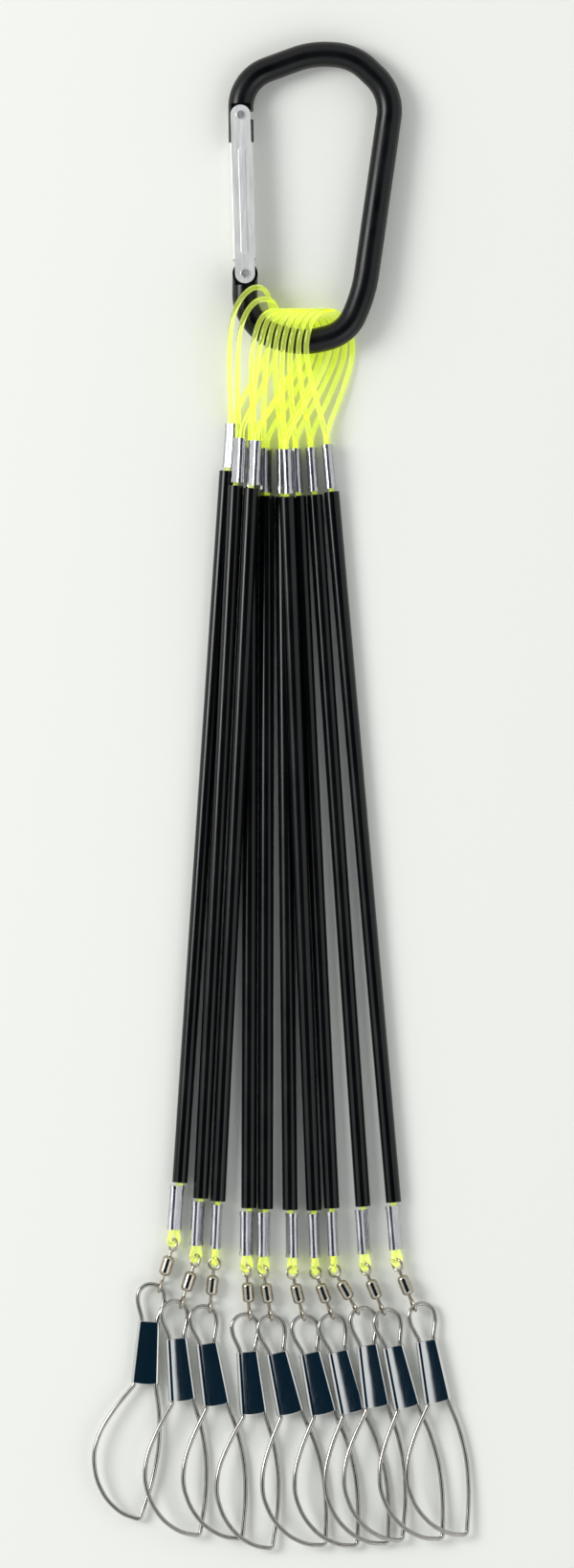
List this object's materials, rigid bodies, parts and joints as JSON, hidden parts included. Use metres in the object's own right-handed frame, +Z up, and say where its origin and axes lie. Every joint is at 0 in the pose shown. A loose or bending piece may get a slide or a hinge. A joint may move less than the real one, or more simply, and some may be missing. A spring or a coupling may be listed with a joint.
{
  "type": "fish stringer",
  "caption": "Fish stringer: a gated carabiner carrying a row of tube-covered fluorescent line leaders, each ending in a barrel swivel and a wire safety snap.",
  "frame": {"origin": "on the table under the middle of the stringer's box, without the line", "axes": "+Y from the snaps to the carabiner, +X to the right seen from above, +Z up from the table"},
  "size_m": [0.1202, 0.478, 0.0129],
  "materials": {
    "black_rod": "black anodised aluminium, glossy",
    "gate_sheet": "bright folded steel",
    "rivet_steel": "bright",
    "spring_steel": "plain",
    "fluorescent_line": "clear fluorescent nylon",
    "sleeve_aluminium": "bright",
    "black_tube": "glossy flexible vinyl",
    "swivel_nickel": "nickel plated",
    "snap_wire_steel": "drawn stainless wire",
    "clasp_steel": "polished stainless sheet"
  },
  "bodies": {
    "stringer": {"carabiner_frame": "black_rod", "pivot_rivet": "rivet_steel", "leader_lines": "fluorescent_line", "upper_sleeves": "sleeve_aluminium", "lower_sleeves": "sleeve_aluminium", "tubes": "black_tube", "upper_eyes": "swivel_nickel"},
    "gate": {"gate": "gate_sheet", "latch_pin": "rivet_steel", "gate_spring": "spring_steel"},
    "swivel_1": {"swivel_barrel_1": "swivel_nickel"},
    "snap_1": {"lower_eye_1": "swivel_nickel", "snap_wire_1": "snap_wire_steel", "clasp_1": "clasp_steel"},
    "arm_1": {"snap_arm_1": "snap_wire_steel"},
    "swivel_2": {"swivel_barrel_2": "swivel_nickel"},
    "snap_2": {"lower_eye_2": "swivel_nickel", "snap_wire_2": "snap_wire_steel", "clasp_2": "clasp_steel"},
    "arm_2": {"snap_arm_2": "snap_wire_steel"},
    "swivel_3": {"swivel_barrel_3": "swivel_nickel"},
    "snap_3": {"lower_eye_3": "swivel_nickel", "snap_wire_3": "snap_wire_steel", "clasp_3": "clasp_steel"},
    "arm_3": {"snap_arm_3": "snap_wire_steel"},
    "swivel_4": {"swivel_barrel_4": "swivel_nickel"},
    "snap_4": {"lower_eye_4": "swivel_nickel", "snap_wire_4": "snap_wire_steel", "clasp_4": "clasp_steel"},
    "arm_4": {"snap_arm_4": "snap_wire_steel"},
    "swivel_5": {"swivel_barrel_5": "swivel_nickel"},
    "snap_5": {"lower_eye_5": "swivel_nickel", "snap_wire_5": "snap_wire_steel", "clasp_5": "clasp_steel"},
    "arm_5": {"snap_arm_5": "snap_wire_steel"},
    "swivel_6": {"swivel_barrel_6": "swivel_nickel"},
    "snap_6": {"lower_eye_6": "swivel_nickel", "snap_wire_6": "snap_wire_steel", "clasp_6": "clasp_steel"},
    "arm_6": {"snap_arm_6": "snap_wire_steel"},
    "swivel_7": {"swivel_barrel_7": "swivel_nickel"},
    "snap_7": {"lower_eye_7": "swivel_nickel", "snap_wire_7": "snap_wire_steel", "clasp_7": "clasp_steel"},
    "arm_7": {"snap_arm_7": "snap_wire_steel"},
    "swivel_8": {"swivel_barrel_8": "swivel_nickel"},
    "snap_8": {"lower_eye_8": "swivel_nickel", "snap_wire_8": "snap_wire_steel", "clasp_8": "clasp_steel"},
    "arm_8": {"snap_arm_8": "snap_wire_steel"},
    "swivel_9": {"swivel_barrel_9": "swivel_nickel"},
    "snap_9": {"lower_eye_9": "swivel_nickel", "snap_wire_9": "snap_wire_steel", "clasp_9": "clasp_steel"},
    "arm_9": {"snap_arm_9": "snap_wire_steel"},
    "swivel_10": {"swivel_barrel_10": "swivel_nickel"},
    "snap_10": {"lower_eye_10": "swivel_nickel", "snap_wire_10": "snap_wire_steel", "clasp_10": "clasp_steel"},
    "arm_10": {"snap_arm_10": "snap_wire_steel"}
  },
  "joints": [
    {"name": "gate_hinge", "type": "hinge", "parent": "stringer", "child": "gate", "pos_m": [-0.01152, 0.16517, 0.00577], "axis": [0, -0.0254, -0.9997], "range_deg": [0, 28], "stiffness_Nm_per_rad": 0.05, "springref_deg": -11.46},
    {"name": "swivel_1_spin", "type": "hinge", "parent": "stringer", "child": "swivel_1", "pos_m": [-0.03637, -0.14879, 0.00264], "axis": [0.2971, 0.9538, 0.0439], "continuous": true},
    {"name": "snap_1_turn", "type": "hinge", "parent": "stringer", "child": "snap_1", "pos_m": [-0.03637, -0.14879, 0.00264], "axis": [0.2971, 0.9538, 0.0439], "range_deg": [0, 60]},
    {"name": "arm_1_open", "type": "hinge", "parent": "snap_1", "child": "arm_1", "pos_m": [-0.04425, -0.22728, 0.00221], "axis": [-0.9921, 0.0694, 0.1045], "range_deg": [0, 25], "stiffness_Nm_per_rad": 0.02, "springref_deg": -17.19},
    {"name": "swivel_2_spin", "type": "hinge", "parent": "stringer", "child": "swivel_2", "pos_m": [-0.02941, -0.15379, 0.00263], "axis": [0.3073, 0.9515, 0.0105], "continuous": true},
    {"name": "snap_2_turn", "type": "hinge", "parent": "stringer", "child": "snap_2", "pos_m": [-0.02941, -0.15379, 0.00263], "axis": [0.3073, 0.9515, 0.0105], "range_deg": [0, 15]},
    {"name": "arm_2_open", "type": "hinge", "parent": "snap_2", "child": "arm_2", "pos_m": [-0.02554, -0.23217, 0.00255], "axis": [-0.9658, -0.093, 0.2419], "range_deg": [0, 25], "stiffness_Nm_per_rad": 0.02, "springref_deg": -17.19},
    {"name": "swivel_3_spin", "type": "hinge", "parent": "stringer", "child": "swivel_3", "pos_m": [-0.02193, -0.15502, 0.00256], "axis": [0.1045, 0.9939, 0.0345], "continuous": true},
    {"name": "snap_3_turn", "type": "hinge", "parent": "stringer", "child": "snap_3", "pos_m": [-0.02193, -0.15502, 0.00256], "axis": [0.1045, 0.9939, 0.0345], "range_deg": [0, 11]},
    {"name": "arm_3_open", "type": "hinge", "parent": "snap_3", "child": "arm_3", "pos_m": [-0.01225, -0.2332, 0.00228], "axis": [-0.9679, -0.1533, 0.1994], "range_deg": [0, 25], "stiffness_Nm_per_rad": 0.02, "springref_deg": -17.19},
    {"name": "swivel_4_spin", "type": "hinge", "parent": "stringer", "child": "swivel_4", "pos_m": [-0.01057, -0.15727, 0.00274], "axis": [-0.0697, 0.9965, 0.0468], "continuous": true},
    {"name": "snap_4_turn", "type": "hinge", "parent": "stringer", "child": "snap_4", "pos_m": [-0.01057, -0.15727, 0.00274], "axis": [-0.0697, 0.9965, 0.0468], "range_deg": [0, 60]},
    {"name": "arm_4_open", "type": "hinge", "parent": "snap_4", "child": "arm_4", "pos_m": [-0.00258, -0.23634, 0.00223], "axis": [-0.9746, -0.1024, 0.1994], "range_deg": [0, 25], "stiffness_Nm_per_rad": 0.02, "springref_deg": -17.19},
    {"name": "swivel_5_spin", "type": "hinge", "parent": "stringer", "child": "swivel_5", "pos_m": [-0.00457, -0.15751, 0.00289], "axis": [-0.1564, 0.9872, 0.0328], "continuous": true},
    {"name": "snap_5_turn", "type": "hinge", "parent": "stringer", "child": "snap_5", "pos_m": [-0.00457, -0.15751, 0.00289], "axis": [-0.1564, 0.9872, 0.0328], "range_deg": [0, 60]},
    {"name": "arm_5_open", "type": "hinge", "parent": "snap_5", "child": "arm_5", "pos_m": [0.01402, -0.2352, 0.00223], "axis": [-0.9548, -0.2204, 0.1994], "range_deg": [0, 25], "stiffness_Nm_per_rad": 0.02, "springref_deg": -17.19},
    {"name": "swivel_6_spin", "type": "hinge", "parent": "stringer", "child": "swivel_6", "pos_m": [0.00507, -0.15767, 0.00288], "axis": [-0.2366, 0.9705, 0.047], "continuous": true},
    {"name": "snap_6_turn", "type": "hinge", "parent": "stringer", "child": "snap_6", "pos_m": [0.00507, -0.15767, 0.00288], "axis": [-0.2366, 0.9705, 0.047], "range_deg": [0, 38]},
    {"name": "arm_6_open", "type": "hinge", "parent": "snap_6", "child": "arm_6", "pos_m": [0.02409, -0.23535, 0.00203], "axis": [-0.9567, -0.2121, 0.1994], "range_deg": [0, 25], "stiffness_Nm_per_rad": 0.02, "springref_deg": -17.19},
    {"name": "swivel_7_spin", "type": "hinge", "parent": "stringer", "child": "swivel_7", "pos_m": [0.0133, -0.15751, 0.00257], "axis": [-0.3516, 0.9355, 0.034], "continuous": true},
    {"name": "snap_7_turn", "type": "hinge", "parent": "stringer", "child": "snap_7", "pos_m": [0.0133, -0.15751, 0.00257], "axis": [-0.3516, 0.9355, 0.034], "range_deg": [0, 36]},
    {"name": "arm_7_open", "type": "hinge", "parent": "snap_7", "child": "arm_7", "pos_m": [0.03393, -0.23468, 0.00185], "axis": [-0.9435, -0.2265, 0.2419], "range_deg": [0, 25], "stiffness_Nm_per_rad": 0.02, "springref_deg": -17.19},
    {"name": "swivel_8_spin", "type": "hinge", "parent": "stringer", "child": "swivel_8", "pos_m": [0.02019, -0.15645, 0.0035], "axis": [-0.4847, 0.8743, -0.0251], "continuous": true},
    {"name": "snap_8_turn", "type": "hinge", "parent": "stringer", "child": "snap_8", "pos_m": [0.02019, -0.15645, 0.0035], "axis": [-0.4847, 0.8743, -0.0251], "range_deg": [0, 45]},
    {"name": "arm_8_open", "type": "hinge", "parent": "snap_8", "child": "arm_8", "pos_m": [0.03851, -0.2337, 0.0026], "axis": [-0.9583, -0.1518, 0.2419], "range_deg": [0, 25], "stiffness_Nm_per_rad": 0.02, "springref_deg": -17.19},
    {"name": "swivel_9_spin", "type": "hinge", "parent": "stringer", "child": "swivel_9", "pos_m": [0.02929, -0.15624, 0.0033], "axis": [-0.381, 0.9243, -0.0242], "continuous": true},
    {"name": "snap_9_turn", "type": "hinge", "parent": "stringer", "child": "snap_9", "pos_m": [0.02929, -0.15624, 0.0033], "axis": [-0.381, 0.9243, -0.0242], "range_deg": [0, 54]},
    {"name": "arm_9_open", "type": "hinge", "parent": "snap_9", "child": "arm_9", "pos_m": [0.05106, -0.23313, 0.00265], "axis": [-0.9447, -0.2216, 0.2419], "range_deg": [0, 25], "stiffness_Nm_per_rad": 0.02, "springref_deg": -17.19},
    {"name": "swivel_10_spin", "type": "hinge", "parent": "stringer", "child": "swivel_10", "pos_m": [0.03927, -0.15492, 0.00339], "axis": [-0.3662, 0.9298, -0.0377], "continuous": true},
    {"name": "snap_10_turn", "type": "hinge", "parent": "stringer", "child": "snap_10", "pos_m": [0.03927, -0.15492, 0.00339], "axis": [-0.3662, 0.9298, -0.0377], "range_deg": [0, 60]},
    {"name": "arm_10_open", "type": "hinge", "parent": "snap_10", "child": "arm_10", "pos_m": [0.05885, -0.23195, 0.0025], "axis": [-0.954, -0.1768, 0.2419], "range_deg": [0, 25], "stiffness_Nm_per_rad": 0.02, "springref_deg": -17.19}
  ],
  "couplings": [
    {"joint": "snap_9_turn", "follows": "snap_10_turn", "ratio": 0.9},
    {"joint": "snap_8_turn", "follows": "snap_10_turn", "ratio": 0.75},
    {"joint": "snap_7_turn", "follows": "snap_10_turn", "ratio": 0.6}
  ]
}
